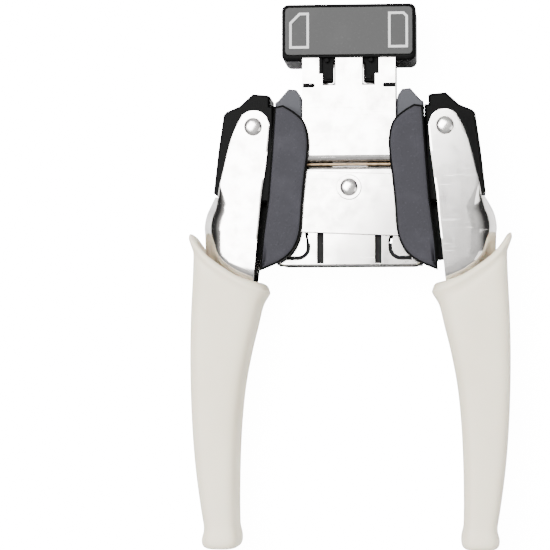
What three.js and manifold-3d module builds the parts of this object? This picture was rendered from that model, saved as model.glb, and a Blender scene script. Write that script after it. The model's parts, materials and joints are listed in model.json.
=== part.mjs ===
// A squeeze-handle corner cutter for paper, lying on its back.
// X runs to the right handle, Y towards the cutting head, Z up out of the front face. Millimetres.
import * as THREE from 'three';
import { mergeVertices } from 'three/addons/utils/BufferGeometryUtils.js';
import Module from 'manifold-3d';

const wasm = await Module();
wasm.setup();

// ---------------------------------------------------------------- driving dimensions

const gap = 0.3;               // clearance between neighbouring pieces
const pivotSpacing = 65.8;     // between the two arm pins, which lie on Y = 0 until the last step
const gripEnd = 145.1;         // from the arm pins down to the ends of the grips
const squeeze = 8.5;           // degrees that each handle turns inwards

const coreHalf = 7.7;          // half the depth of everything between the plates
const plate = 1.2;             // sheet of the neck, yoke and crosshead
const cheek = 1.4;             // sheet of the arms
const wingSheet = 1.8;         // thickness of the wing covers

const headWidth = 46.2;
const headBottom = 22.6;
const headHeight = 19.7;
const headOverNeck = 1.3;      // how far the faces of the head stand proud of the neck
const headWall = 1.6;
const neckWidth = 32.0;
const neckBottom = -12.2;
const neckIntoHead = 4.0;      // how far the neck stands up into the head
const neckRoll = 2.4;          // outer radius of the rolled lower edge of the neck

const yokeInset = 8.9;         // from the arm pins in to the ends of the yoke
const yokeTop = -15.7;
const yokeBottom = -36.9;
const yokeTilt = -2.5;         // degrees; the riveted plates sit a little askew
const rivetY = -20.9;
const rivetHead = 3.0;
const rivetWasher = 4.3;
const rivetShank = 1.7;
const washerSheet = 0.4;
const domeHeight = 1.4;

const pinShank = 2.2;
const pinHead = 3.05;
const bushWall = 1.0;
const armEye = 5.7;            // radius of the rounded top of each arm
const capRadius = 26.6;        // reach of the fixed outer cap from the arm pin
const leverIn = 14.0;          // from the arm pin to the lever pin, inwards
const leverDown = 38.0;        // and downwards
const leverPin = 1.6;
const leverEnd = 3.0;
const leverHalf = 2.4;         // half the thickness of the push lever and the plunger bar

const crossheadTop = -33.3;
const crossheadBottom = -47.6;
const crossheadInset = 7.6;    // and to the ends of the crosshead
const tabSlot = 1.3;           // width of the curved slots that frame the crosshead's tabs
const tabRadius = 4.3;         // their outer radius round the corner of the tab
const barHalfWidth = 6.0;
const seatHeight = 3.3;
const springX = 10.3;
const springRadius = 2.4;
const springWire = 0.7;
const springTurns = 6;

const bladeTop = 32.8;
const bladeRise = 4.3;
const slit = 0.9;              // height of the paper slits
const guideFloor = 1.2;
const dieHeight = 3.2;
const largeCut = 5.0;          // half the length of the large and of the small corner cut
const smallCut = 2.5;
const bladeFace = 17.0;        // distance of both cutting faces from the middle

// ---------------------------------------------------------------- derived values

const pivotX = pivotSpacing / 2;
const yokeIn = coreHalf + gap;
const yokeOut = yokeIn + plate;
const cheekIn = yokeOut + gap;
const cheekOut = cheekIn + cheek;
const wingIn = cheekOut + gap;
const halfDepth = wingIn + wingSheet;
const neckHalf = neckWidth / 2;
const neckGap = pivotX - neckHalf - gap;    // from the arm pin in to the side of the neck
const yokeHalfWidth = pivotX - yokeInset;
const crossheadHalfWidth = pivotX - crossheadInset;
const headHalf = headWidth / 2;
const headFront = yokeOut + headOverNeck;
const headTop = headBottom + headHeight;
const neckTop = headBottom + neckIntoHead;
const crossheadCore = coreHalf - plate - gap;
const punchHalf = crossheadCore;
const slitBottom = bladeTop + gap;

const leverLength = Math.hypot(leverIn, leverDown);
const leverAngle = Math.atan2(-leverDown, leverIn);
const closed = leverAngle + THREE.MathUtils.degToRad(squeeze);
const travel = leverLength * Math.sin(closed) + leverDown;
const leverInClosed = leverLength * Math.cos(closed);

// ---------------------------------------------------------------- solids

// A closed three.js geometry as a solid that can be cut and joined.
function solid(geometry) {
  const bare = geometry.clone();
  bare.deleteAttribute('normal');
  bare.deleteAttribute('uv');
  const merged = mergeVertices(bare, 1e-4);
  const mesh = new wasm.Mesh({
    numProp: 3,
    vertProperties: new Float32Array(merged.attributes.position.array),
    triVerts: new Uint32Array(merged.index.array),
  });
  return new wasm.Manifold(mesh);
}

const join = (first, ...rest) => rest.reduce((whole, piece) => whole.add(piece), first);
const cut = (first, ...rest) => rest.reduce((whole, tool) => whole.subtract(tool), first);

function geometryOf(body) {
  const mesh = body.getMesh();
  const geometry = new THREE.BufferGeometry();
  geometry.setAttribute('position', new THREE.BufferAttribute(mesh.vertProperties, 3));
  geometry.setIndex(new THREE.BufferAttribute(mesh.triVerts, 1));
  return geometry;
}

function block(x0, x1, y0, y1, z0, z1) {
  const box = new THREE.BoxGeometry(Math.abs(x1 - x0), y1 - y0, z1 - z0);
  return solid(box.translate((x0 + x1) / 2, (y0 + y1) / 2, (z0 + z1) / 2));
}

const shapeOf = (points) => new THREE.Shape(points.map(([x, y]) => new THREE.Vector2(x, y)));

// A plate from z0 to z1, with its two rims rounded by `edge`.
function slab(points, z0, z1, edge = 0, rounds = 2) {
  const geometry = new THREE.ExtrudeGeometry(shapeOf(points), {
    depth: z1 - z0 - 2 * edge,
    bevelEnabled: edge > 0,
    bevelThickness: edge,
    bevelSize: edge,
    bevelOffset: -edge,
    bevelSegments: rounds,
  });
  return solid(geometry.translate(0, 0, z0 + edge));
}

// A bar of the outline [z, y], running from x0 to x1.
function barAlongX(points, x0, x1) {
  const shape = shapeOf(points.map(([z, y]) => [-z, y]));
  const geometry = new THREE.ExtrudeGeometry(shape, { depth: x1 - x0, bevelEnabled: false });
  return solid(geometry.rotateY(Math.PI / 2).translate(x0, 0, 0));
}

function rod(x, y, z0, z1, radius, sides = 24) {
  const geometry = new THREE.CylinderGeometry(radius, radius, z1 - z0, sides);
  return solid(geometry.rotateX(Math.PI / 2).translate(x, y, (z0 + z1) / 2));
}

function ring(x, y, z0, z1, inner, outer) {
  return cut(rod(x, y, z0, z1, outer, 32), rod(x, y, z0 - 1, z1 + 1, inner, 32));
}

// A shank along Z with a domed head at each end, whose undersides are at zBack and zFront.
function rivet(x, y, zBack, zFront, shank, head, dome) {
  const arc = [0, 0.3, 0.6, 0.85].map((t) => {
    const angle = t * Math.PI / 2;
    return [head * Math.cos(angle), dome * Math.sin(angle)];
  });
  const front = arc.map(([r, h]) => [r, zFront + h]);
  const back = arc.map(([r, h]) => [r, zBack - h]).reverse();
  const profile = [
    [0, zBack - dome], ...back, [shank, zBack], [shank, zFront], ...front, [0, zFront + dome],
  ];
  const points = profile.map(([r, h]) => new THREE.Vector2(r, h));
  const geometry = new THREE.LatheGeometry(points, 16);
  return solid(geometry.rotateX(Math.PI / 2).translate(x, y, 0));
}

// ---------------------------------------------------------------- outlines

const curve = (points, divisions) => {
  const spline = new THREE.SplineCurve(points.map(([x, y]) => new THREE.Vector2(x, y)));
  return spline.getPoints(divisions).map((p) => [p.x, p.y]);
};

// An arc about [x, y], from one angle to another in degrees.
function arc(x, y, radius, from, to, steps) {
  return Array.from({ length: steps + 1 }, (_, i) => {
    const angle = THREE.MathUtils.degToRad(from + (to - from) * i / steps);
    return [x + radius * Math.cos(angle), y + radius * Math.sin(angle)];
  });
}

function roundedBox(x0, x1, y0, y1, radius, steps = 4) {
  return [
    ...arc(x1 - radius, y1 - radius, radius, 0, 90, steps),
    ...arc(x0 + radius, y1 - radius, radius, 90, 180, steps),
    ...arc(x0 + radius, y0 + radius, radius, 180, 270, steps),
    ...arc(x1 - radius, y0 + radius, radius, 270, 360, steps),
  ];
}

const turned = (points, degrees, [cx, cy]) => points.map(([x, y]) => {
  const a = THREE.MathUtils.degToRad(degrees);
  const [dx, dy] = [x - cx, y - cy];
  return [cx + dx * Math.cos(a) - dy * Math.sin(a), cy + dx * Math.sin(a) + dy * Math.cos(a)];
});

// Outlines of a side are measured outwards from its arm pin; side is 1 on the right, -1 on the left.
const onSide = (side, points) => points.map(([out, y]) => [side * (pivotX + out), y]);
const shifted = (points, out) => points.map(([x, y]) => [x + out, y]);

// From this height down, the grip and the arm inside it follow the length of the grip.
const gripTop = -52;
const drawnEnd = 145.1;
const stretch = (points) => points.map(([x, y]) => {
  const share = (y - gripTop) / (-drawnEnd - gripTop);
  return [x, y < gripTop ? gripTop + share * (-gripEnd - gripTop) : y];
});

const armOuter = [
  [3.9, 4.2], [6.3, -0.4], [8.3, -6], [10.2, -14], [12.0, -20.5], [14.7, -25.7], [16.9, -30.2],
  [17.6, -33.8], [17.2, -38], [17.3, -47],
];
const tangOuter = stretch([[18.2, -62], [18.4, -80], [17.9, -97], [16.8, -113], [14.4, -134]]);
const tangInner = stretch([[9.5, -134], [9.3, -114], [8.2, -94], [5.6, -79], [2.6, -67]]);
const armInner = [[0.0, -52], [-1.3, -39], [-2.8, -24], [-4.8, -9], [-5.6, 0.5]];

// The wing covers, their pegs and the fins reach in to the neck, wherever that stands.
const drawnNeckGap = 16.6;
const stillFrom = -8;
const toNeck = (points) => points.map(([x, y]) => {
  const share = (neckGap + stillFrom) / (drawnNeckGap + stillFrom);
  return [x < stillFrom ? stillFrom + (x - stillFrom) * share : x, y];
});

const wingInner = toNeck([
  [-10.5, 7.2], [-14.7, 4.6], [-17.9, 1.2], [-19.2, -4.5], [-19.0, -10], [-17.2, -27],
  [-16.5, -36], [-14.8, -41.2], [-12.3, -44.5], [-8.7, -47.0], [-2.5, -49.6],
]);
const wingOuter = [[-5.2, -24.7], [-7.4, 6.7]];

const fin = toNeck([
  [-16.6, 4], [-16.6, 9], [-16.1, 11.1], [-14.7, 13.1], [-11.9, 13.4], [-8.4, 9.4], [-7.3, 8.7],
]);
const capTop = [[-5.7, 7.6], [-5.7, 10.6], [-4.9, 11.1], [0.3, 11.6], [4.9, 7.4], [9.4, 5.5], [10.4, 4.4]];
const capSide = [[12.2, -8], [14.2, -26]];

// ---------------------------------------------------------------- the head

function headHousing() {
  const outline = roundedBox(-headHalf, headHalf, headBottom, headTop, 2.2);
  const shell = slab(outline, -headFront, headFront, 1.2, 3);
  const inside = headHalf - headWall;
  const depthInside = headFront - headWall;
  const throat = neckHalf + gap;
  return cut(
    shell,
    block(-inside, inside, headBottom + headWall, headTop - headWall, -depthInside, depthInside),
    block(-throat, throat, headBottom - 1, neckTop + gap, -yokeOut - gap, yokeOut + gap),
    block(-throat, throat, headBottom - 1, headBottom + 1.3, 0, headFront + 1),
    block(-headHalf - 1, headHalf + 1, slitBottom, slitBottom + slit, -depthInside, depthInside),
    block(-coverHalf - gap, coverHalf + gap, headTop - 2 * headWall, headTop + 1, -6.5, 6.5),
    slab(panelOutline(gap), headFront - panelSheet - gap, headFront + 1),
  );
}

const coverHalf = 13.1;
const panelSheet = 0.6;
const panelRim = 1.2;

function panelOutline(grow) {
  const x = headHalf - panelRim + grow;
  const low = headBottom + panelRim + 0.9 - grow;
  return roundedBox(-x, x, low, headTop - panelRim + grow, 1.4, 3);
}

function headPanel() {
  return slab(panelOutline(0), headFront - panelSheet, headFront + 0.1, 0.15, 1);
}

function chipCover() {
  const lid = roundedBox(-coverHalf, coverHalf, headTop - headWall, headTop + 0.5, 0.4, 2);
  return slab(lid, -6.2, 6.2);
}

// A sheet of paper with one corner cut off, which tells the two sides of the head apart.
function cornerMark(side, cutSize) {
  const [w, h, line] = [3.4, 6.2, 0.85];
  const [x, y] = [side * (headHalf - panelRim - 4.9), headBottom + headHeight / 2 + 0.6];
  const page = (inset, chamfer) => [
    [-w + inset, -h + inset], [w - inset, -h + inset], [w - inset, h - inset - chamfer],
    [w - inset - chamfer, h - inset], [-w + inset, h - inset],
  ].map(([px, py]) => [x + side * px, y + py]);
  const front = headFront + 0.15;
  const inner = cutSize - line * (2 - Math.SQRT2);
  return cut(
    slab(page(0, cutSize), front, front + 0.25),
    slab(page(line, Math.max(inner, 0.2)), front - 1, front + 1),
  );
}

// The die above and the guide below a paper slit: the guide's notch stops the sheet's corner.
function bladeWindow(side, half, y0, y1, grow) {
  const inner = bladeFace - half - 0.6;
  const reach = half + 0.4 + grow;
  return block(side * (inner - grow), side * (bladeFace + grow), y0, y1, -reach, reach);
}

function dieBox(side, y0, y1) {
  const outer = headHalf - headWall - gap;
  const half = headFront - headWall - gap;
  return block(side * 9.5, side * outer, y0, y1, -half, half);
}

function die(side, half) {
  const bottom = slitBottom + slit + gap;
  const top = bottom + dieHeight;
  return cut(dieBox(side, bottom, top), bladeWindow(side, half, bottom - 1, top + 1, gap));
}

function guide(side, half) {
  const bottom = slitBottom - guideFloor;
  const apex = bladeFace - half;
  const reach = headHalf - apex;
  const notch = [[apex, 0], [apex + reach, reach], [apex + reach, -reach]].map(([x, z]) => [side * x, z]);
  const wedge = new THREE.ExtrudeGeometry(shapeOf(notch), { depth: slit + 1, bevelEnabled: false });
  return cut(
    dieBox(side, bottom, slitBottom + slit),
    solid(wedge.rotateX(-Math.PI / 2).translate(0, slitBottom, 0)),
    bladeWindow(side, half, bottom - 1, slitBottom + slit + 1, gap),
  );
}

// ---------------------------------------------------------------- neck and yoke

const slotInner = 4.6;
const slotOuter = 10.3;
const slotStep = 9.0;
const slotBottom = 14.3;
const slotStepY = 18.3;
const notchY = 14.3;
const notchHalf = 0.7;
const notchX = neckHalf - 3.6;

function neckChannel() {
  const corner = arc(yokeOut - neckRoll, neckBottom + neckRoll, neckRoll, 0, -90, 5);
  const liner = arc(yokeOut - neckRoll, neckBottom + neckRoll, neckRoll - plate, -90, 0, 5);
  const wall = [[-yokeOut, neckTop], [yokeOut, neckTop], ...corner, [-yokeOut, neckBottom]];
  const face = [[yokeOut, neckTop], ...corner, ...liner, [yokeIn, neckTop]];
  const inner = neckHalf - plate;
  const body = join(
    barAlongX(face, -neckHalf, neckHalf),
    barAlongX(wall, -neckHalf, -inner),
    barAlongX(wall, inner, neckHalf),
  );
  const openings = [1, -1].flatMap((side) => [
    block(side * slotInner, side * slotStep, slotBottom, neckTop + 1, yokeIn - 1, yokeOut + 1),
    block(side * slotStep, side * slotOuter, slotStepY, neckTop + 1, yokeIn - 1, yokeOut + 1),
    block(side * notchX, side * neckWidth, notchY - notchHalf, notchY + notchHalf, coreHalf, halfDepth),
    rod(side * notchX, notchY, coreHalf, halfDepth, notchHalf, 12),
  ]);
  return cut(body, ...openings);
}

function neckBackPlate() {
  const half = neckHalf - plate - gap;
  return block(-half, half, neckBottom, neckTop, -yokeOut, -yokeIn);
}

// The moulded latch that fills a neck slot and ties the head to the neck.
function headLatch(side) {
  const back = coreHalf - 0.9;
  const low = slotBottom + 1.6;
  const at = (x0, x1, y0, y1, z1) => block(side * x0, side * x1, y0, y1, coreHalf - 0.5, z1);
  return join(
    block(side * (slotInner + 0.2), side * (slotOuter - 0.2), low, neckTop - 0.2, back, coreHalf),
    at(slotStep + gap, slotOuter - gap, slotStepY + gap, neckTop - 0.4, yokeOut - 0.5),
    at(slotInner + 1, slotInner + 3.2, slotBottom + 2.3, slotBottom + 3.6, yokeOut - 0.7),
    rod(side * (slotInner + 3), headBottom + 0.4, coreHalf - 0.5, yokeOut + 0.2, 0.75, 16),
  );
}

function neckFoot() {
  const top = neckBottom - 1.5;
  const round = arc(coreHalf - 1, top - 1, 1, 90, 0, 3);
  const profile = [[-coreHalf, top], ...round, [coreHalf, top - seatHeight], [-coreHalf, top - seatHeight]];
  const half = neckHalf - gap;
  const [wide, deep] = [barHalfWidth + gap, leverHalf + gap];
  return cut(
    barAlongX(profile, -half, half),
    block(-wide, wide, top - seatHeight - 1, top + 1, -deep, deep),
  );
}

function crossRod() {
  const geometry = new THREE.CylinderGeometry(0.5, 0.5, neckWidth - 2 * gap, 16);
  return solid(geometry.rotateZ(Math.PI / 2).translate(0, neckBottom - 0.75, coreHalf + 0.2));
}

const pegs = toNeck([[-12.6, 2.2], [-12.4, -25.5]]);
const pegRadius = 1.6;

function yokePlate(z0, z1) {
  const flat = roundedBox(-yokeHalfWidth, yokeHalfWidth, yokeBottom, yokeTop, 1.5, 3);
  const plateBody = slab(turned(flat, yokeTilt, [0, (yokeTop + yokeBottom) / 2]), z0, z1);
  const holes = [1, -1].map((side) => {
    const [[x, y]] = onSide(side, [pegs[1]]);
    return rod(x, y, z0 - 1, z1 + 1, pegRadius + gap);
  });
  return cut(plateBody, ...holes, rod(0, rivetY, z0 - 1, z1 + 1, rivetShank + gap));
}

const rivetBore = rivetShank + gap;
const washerTop = yokeOut + gap + washerSheet;
const rivetRing = (z0, z1, outer) => ring(0, rivetY, z0, z1, rivetBore, outer);

// ---------------------------------------------------------------- the fixed sides

const leverSlotTop = armEye + 0.2;

function sideBracket(side) {
  const bottom = crossheadTop + travel + 1;
  const outer = -7.3;
  const outline = onSide(side, [...fin, [outer, bottom], [-neckGap, bottom], [-neckGap, 4]]);
  const [[slotX0], [slotX1]] = onSide(side, [[-neckGap - 1, 0], [outer + 1, 0]]);
  return cut(
    slab(outline, -coreHalf, coreHalf, 0.5, 1),
    block(slotX0, slotX1, bottom - 1, leverSlotTop, -leverHalf - gap, leverHalf + gap),
  );
}

function outerCap(side) {
  const [[x, y]] = onSide(side, [[0, 0]]);
  const outline = onSide(side, [...capTop, ...capSide, [-7.0, -26], [-7.0, 7.6]]);
  const reach = rod(x, y, -yokeOut - 1, yokeOut + 1, capRadius, 64);
  const slot = [[-8, leverSlotTop], [8.2, leverSlotTop], [10.2, -8], [12.2, -28], [-8, -28]];
  return cut(
    slab(outline, -yokeOut, yokeOut, 0.8, 1).intersect(reach),
    slab(onSide(side, slot), -leverHalf - gap, leverHalf + gap),
    rod(x, y, -yokeOut - 1, yokeOut + 1, pinShank + gap),
  );
}

// The back covers are shorter at the foot than the front ones.
const footFrom = -36;
const backFoot = 0.7;
const shortened = (points) => points.map(([x, y]) => {
  const beyond = Math.min(0, y - footFrom);
  return [x, y - beyond * (1 - backFoot)];
});

function wingCover(side, face) {
  const whole = [...curve(wingInner, 22), ...wingOuter];
  const outline = onSide(side, face > 0 ? whole : shortened(whole));
  const span = (near, far) => (face > 0 ? [near, far] : [-far, -near]);
  const sheet = slab(outline, ...span(wingIn, halfDepth), 0.5, 2);
  const studs = pegs.map((peg) => {
    const [[x, y]] = onSide(side, [peg]);
    return rod(x, y, ...span(coreHalf + gap, wingIn + wingSheet / 2), pegRadius, 16);
  });
  const edge = curve(wingInner.slice(2, 7), 12);
  const lip = [...edge, ...shifted([...edge].reverse(), 1.3)];
  const skirt = slab(onSide(side, shifted(lip, 0.5)), ...span(cheekIn, wingIn + wingSheet / 2));
  return join(sheet, skirt, ...studs);
}

// ---------------------------------------------------------------- the handles

// The pressed arm: two cheeks joined by a rounded outer wall that starts below the fixed cap.
function arm(side) {
  const [[x, y]] = onSide(side, [[0, 0]]);
  const eye = arc(0, 0, armEye, 150, 58, 7);
  const outer = curve([...armOuter, ...tangOuter], 26);
  const inner = curve([...tangInner, ...armInner], 14);
  const rounding = 3.0;
  const outline = onSide(side, [...eye, ...outer, ...inner]);
  const wideEye = [...shifted(eye.slice(0, 3), -4), ...eye.slice(3)];
  const wide = onSide(side, [...wideEye, ...outer, ...shifted(inner, -4)]);
  const hollowOuter = shifted(outer, -cheek);
  const hollow = [...hollowOuter, ...shifted([...inner], -6), [-armEye - 6, armEye + 2], [3, armEye + 2]];
  return cut(
    slab(wide, -cheekOut, cheekOut, rounding, 3).intersect(slab(outline, -cheekOut, cheekOut)),
    slab(onSide(side, hollow), -cheekIn, cheekIn),
    rod(x, y, -cheekIn, cheekIn, capRadius + 2 * gap, 64),
    rod(x, y, -cheekOut - 1, cheekOut + 1, pinShank + gap),
  );
}

// Stations down the grip: the outer and the inner point of each, and half its depth.
const gripStations = [
  [[22.9, -37.3], [-4.8, -55.4], halfDepth],
  [[21.5, -41.2], [-3.0, -58.3], halfDepth - 0.2],
  [[21.2, -47], [-1.5, -63.5], halfDepth - 0.3],
  [[21.7, -57], [0.6, -73], halfDepth - 0.4],
  [[22.2, -72], [3.0, -84], halfDepth - 0.4],
  [[22.0, -92], [4.9, -98], halfDepth - 0.5],
  [[20.9, -113], [5.7, -116], halfDepth - 0.6],
  [[18.9, -128], [5.8, -129], halfDepth - 0.8],
  [[17.2, -137.6], [5.6, -137.2], halfDepth - 1.0],
  [[17.6, -139.8], [5.0, -139.8], halfDepth - 0.6],
  [[18.2, -141.6], [4.8, -141.8], halfDepth - 0.4],
  [[18.0, -143.6], [5.2, -143.8], halfDepth - 0.9],
  [[16.2, -145.1], [7.6, -145.1], halfDepth - 3.0],
];
const gripCorner = 4.5;

// The rounded rectangle across a station, in the plane of the station's line and Z.
function sectionRing([outer, inner, half], side) {
  const [[ox, oy], [ix, iy]] = onSide(side, stretch([outer, inner]));
  const width = Math.hypot(ox - ix, oy - iy) / 2;
  const radius = Math.min(gripCorner, width - 0.5, half - 0.5);
  return roundedBox(-width, width, -half, half, radius).map(([u, z]) => {
    const t = (u / width + 1) / 2;
    return new THREE.Vector3(ix + (ox - ix) * t, iy + (oy - iy) * t, z);
  });
}

// A closed skin over rings of equally many points, with a flat face at each end.
function loft(rings) {
  const count = rings[0].length;
  const middle = (ring) => ring.reduce((sum, p) => sum.add(p), new THREE.Vector3()).divideScalar(count);
  const points = [...rings.flat(), middle(rings[0]), middle(rings.at(-1))];
  const [head, foot] = [points.length - 2, points.length - 1];
  const index = [];
  for (let i = 0; i < count; i += 1) {
    const j = (i + 1) % count;
    index.push(head, j, i, foot, foot - 1 - count + i, foot - 1 - count + j);
    for (let row = 0; row < rings.length - 1; row += 1) {
      const [a, b] = [row * count + i, row * count + j];
      index.push(a, b, b + count, a, b + count, a + count);
    }
  }
  const geometry = new THREE.BufferGeometry().setFromPoints(points);
  geometry.setIndex(index);
  const body = solid(geometry);
  return body.volume() > 0 ? body : flipped(geometry);
}

function flipped(geometry) {
  const index = Array.from(geometry.index.array);
  for (let i = 0; i < index.length; i += 3) {
    [index[i], index[i + 1]] = [index[i + 1], index[i]];
  }
  geometry.setIndex(index);
  return solid(geometry);
}

function grip(side) {
  const sleeve = loft(gripStations.map((station) => sectionRing(station, side)));
  const outer = shifted(curve([...armOuter.slice(-3), ...tangOuter], 16), gap);
  const inner = shifted(curve([...tangInner, ...armInner.slice(0, 2)], 14), -gap);
  const lastY = tangOuter.at(-1)[1] - gap;
  const core = [...outer, [outer.at(-1)[0], lastY], [inner[0][0], lastY], ...inner];
  const bore = slab(onSide(side, core), -cheekOut - gap, cheekOut + gap);
  const [[dipX, dipY]] = onSide(side, [[-9.1, -18.7]]);
  const dip = rod(dipX, dipY, -halfDepth - 1, halfDepth + 1, 36, 96);
  return cut(sleeve, bore, dip);
}

// The flat lever inside an arm, which carries the pin that lifts the crosshead.
function pushLever(side) {
  const [[x, y], [bx, by]] = onSide(side, [[0, 0], [-leverIn, -leverDown]]);
  const outline = onSide(side, [
    ...arc(0, 0, 5, 180, 0, 10), [7.2, -26.6], [14.9, -30.6], [15.2, -36], [8, -44], [-2, -45.6],
    ...arc(-leverIn, -leverDown, leverEnd, 280, 120, 10), [-6, -29],
  ]);
  const through = [-leverHalf - 1, leverHalf + 1];
  return cut(
    slab(outline, -leverHalf, leverHalf),
    rod(x, y, ...through, pinShank + gap + bushWall + gap),
    rod(bx, by, ...through, leverPin + gap),
  );
}

// ---------------------------------------------------------------- the plunger

function plungerBar() {
  const slotHalf = rivetShank + 0.8 + 2 * gap;
  const top = punchBottom - gap;
  const slot = [
    ...arc(0, rivetY, slotHalf, 0, 180, 10), ...arc(0, rivetY - travel, slotHalf, 180, 360, 10),
  ];
  return cut(
    block(-barHalfWidth, barHalfWidth, crossheadTop + gap, top, -leverHalf, leverHalf),
    slab(slot, -leverHalf - 1, leverHalf + 1),
  );
}

const crossheadWeb = pivotX - leverInClosed - leverEnd - gap;
const [slotFrom, slotTo] = [8.8, 11.1];

function crossheadBody() {
  const half = crossheadHalfWidth - 0.3;
  const pinPath = leverPin + gap;
  const leverSpace = leverHalf + gap;
  const [below, above] = [crossheadBottom - 1, crossheadTop + 1];
  const body = block(-half, half, crossheadBottom + 0.3, crossheadTop, -crossheadCore, crossheadCore);
  const tools = [1, -1].flatMap((side) => {
    const near = side * (pivotX - leverInClosed);
    const far = side * (pivotX - leverIn);
    const [low, high] = [-leverDown - pinPath - 0.1, -leverDown + pinPath + 0.1];
    return [
      block(side * crossheadWeb, side * (half + 1), below, above, -leverSpace, leverSpace),
      block(near - side * pinPath, far + side * pinPath, low, high, -halfDepth, halfDepth),
    ];
  });
  return cut(body, ...tools);
}

// The bright plate over the crosshead: a middle tongue, and a foot with a rounded tab on each side.
function crossheadPlate(face) {
  const half = crossheadHalfWidth;
  const outline = roundedBox(-half, half, crossheadBottom, crossheadTop, 3.2, 5);
  const [z0, z1] = face > 0 ? [crossheadCore + gap, coreHalf] : [-coreHalf, -crossheadCore - gap];
  const [tabX, tabY] = [half - 7.6, crossheadBottom + 6.1];
  const tabEnd = tabX + 3.8;
  const bent = (radius, lean) => [
    [tabX - radius + lean, yokeBottom + 0.5], [tabX - radius, tabY + 2.2],
    ...arc(tabX, tabY, radius, 180, 270, 8), [tabEnd, tabY - radius],
  ];
  const bend = [...bent(tabRadius, 0.8), ...bent(tabRadius - tabSlot, 0.6).reverse()];
  const tools = [1, -1].flatMap((side) => [
    block(side * slotFrom, side * slotTo, crossheadBottom + 0.6, crossheadTop - 1.2, z0 - 1, z1 + 1),
    slab(bend.map(([x, y]) => [side * x, y]), z0 - 1, z1 + 1),
  ]);
  return cut(slab(outline, z0, z1, 0.3, 1), ...tools);
}

const punchTop = bladeTop - bladeRise;
const flangeBottom = neckTop + gap;
const punchBottom = 20.5;

function punchBlock() {
  const half = neckHalf - plate - gap;
  return join(
    block(-half, half, punchBottom, punchTop - gap, -punchHalf, punchHalf),
    block(-bladeFace - 0.2, bladeFace + 0.2, flangeBottom, punchTop - gap, -punchHalf, punchHalf),
  );
}

function blade(side, half) {
  return bladeWindow(side, half, punchTop, bladeTop, 0);
}

class Helix extends THREE.Curve {
  constructor(x, y0, y1, radius, turns) {
    super();
    Object.assign(this, { x, y0, y1, radius, turns });
  }

  getPoint(t) {
    const angle = 2 * Math.PI * this.turns * t;
    const y = this.y0 + (this.y1 - this.y0) * t;
    return new THREE.Vector3(this.x + this.radius * Math.cos(angle), y, this.radius * Math.sin(angle));
  }
}

function returnSpring(side) {
  const low = crossheadTop + gap + springWire / 2;
  const high = neckBottom - 1.5 - seatHeight - gap - springWire / 2;
  const path = new Helix(side * springX, low, high, springRadius, springTurns);
  const section = shapeOf(arc(0, 0, springWire / 2, 0, 300, 5));
  const steps = springTurns * 10;
  return solid(new THREE.ExtrudeGeometry(section, { extrudePath: path, steps, bevelEnabled: false }));
}

// ---------------------------------------------------------------- assembly

const finishes = {
  chrome: { color: 0xe8e8ea, roughness: 0.12, metalness: 1 },
  steel: { color: 0xb9bbbe, roughness: 0.3, metalness: 1 },
  darkSteel: { color: 0x3a3836, roughness: 0.45, metalness: 0.8 },
  black: { color: 0x121214, roughness: 0.35, metalness: 0 },
  slate: { color: 0x5c5b61, roughness: 0.6, metalness: 0 },
  panel: { color: 0x6f7075, roughness: 0.5, metalness: 0 },
  mark: { color: 0xd8d8d6, roughness: 0.6, metalness: 0 },
  vinyl: { color: 0xe0ddd6, roughness: 0.55, metalness: 0 },
  bronze: { color: 0x8a6a4a, roughness: 0.4, metalness: 1 },
};

const tool = new THREE.Group();

function add(name, finish, body) {
  const mesh = new THREE.Mesh(geometryOf(body), new THREE.MeshStandardMaterial(finishes[finish]));
  mesh.name = name;
  tool.add(mesh);
}

add('head_housing', 'black', headHousing());
add('head_front_panel', 'panel', headPanel());
add('chip_cover', 'black', chipCover());
add('large_cut_mark', 'mark', cornerMark(-1, 3.4));
add('small_cut_mark', 'mark', cornerMark(1, 1.4));
add('large_die', 'steel', die(-1, largeCut));
add('small_die', 'steel', die(1, smallCut));
add('large_paper_guide', 'steel', guide(-1, largeCut));
add('small_paper_guide', 'steel', guide(1, smallCut));
add('neck_channel', 'chrome', neckChannel());
add('neck_back_plate', 'chrome', neckBackPlate());
add('neck_foot', 'chrome', neckFoot());
add('neck_cross_rod', 'bronze', crossRod());
add('yoke_front', 'chrome', yokePlate(yokeIn, yokeOut));
add('yoke_back', 'chrome', yokePlate(-yokeOut, -yokeIn));
add('rivet_washer', 'chrome', rivetRing(yokeOut + gap, washerTop, rivetWasher));
add('rivet_sleeve', 'steel', rivetRing(-coreHalf, coreHalf, rivetBore + 0.5));
const centreSeat = [-yokeOut - gap, washerTop + gap];
add('centre_rivet', 'steel', rivet(0, rivetY, ...centreSeat, rivetShank, rivetHead, domeHeight));
add('plunger_bar', 'steel', plungerBar());
add('crosshead_body', 'darkSteel', crossheadBody());
add('crosshead_front_plate', 'chrome', crossheadPlate(1));
add('crosshead_back_plate', 'chrome', crossheadPlate(-1));
add('punch_block', 'darkSteel', punchBlock());
add('large_blade', 'steel', blade(-1, largeCut));
add('small_blade', 'steel', blade(1, smallCut));

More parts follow.
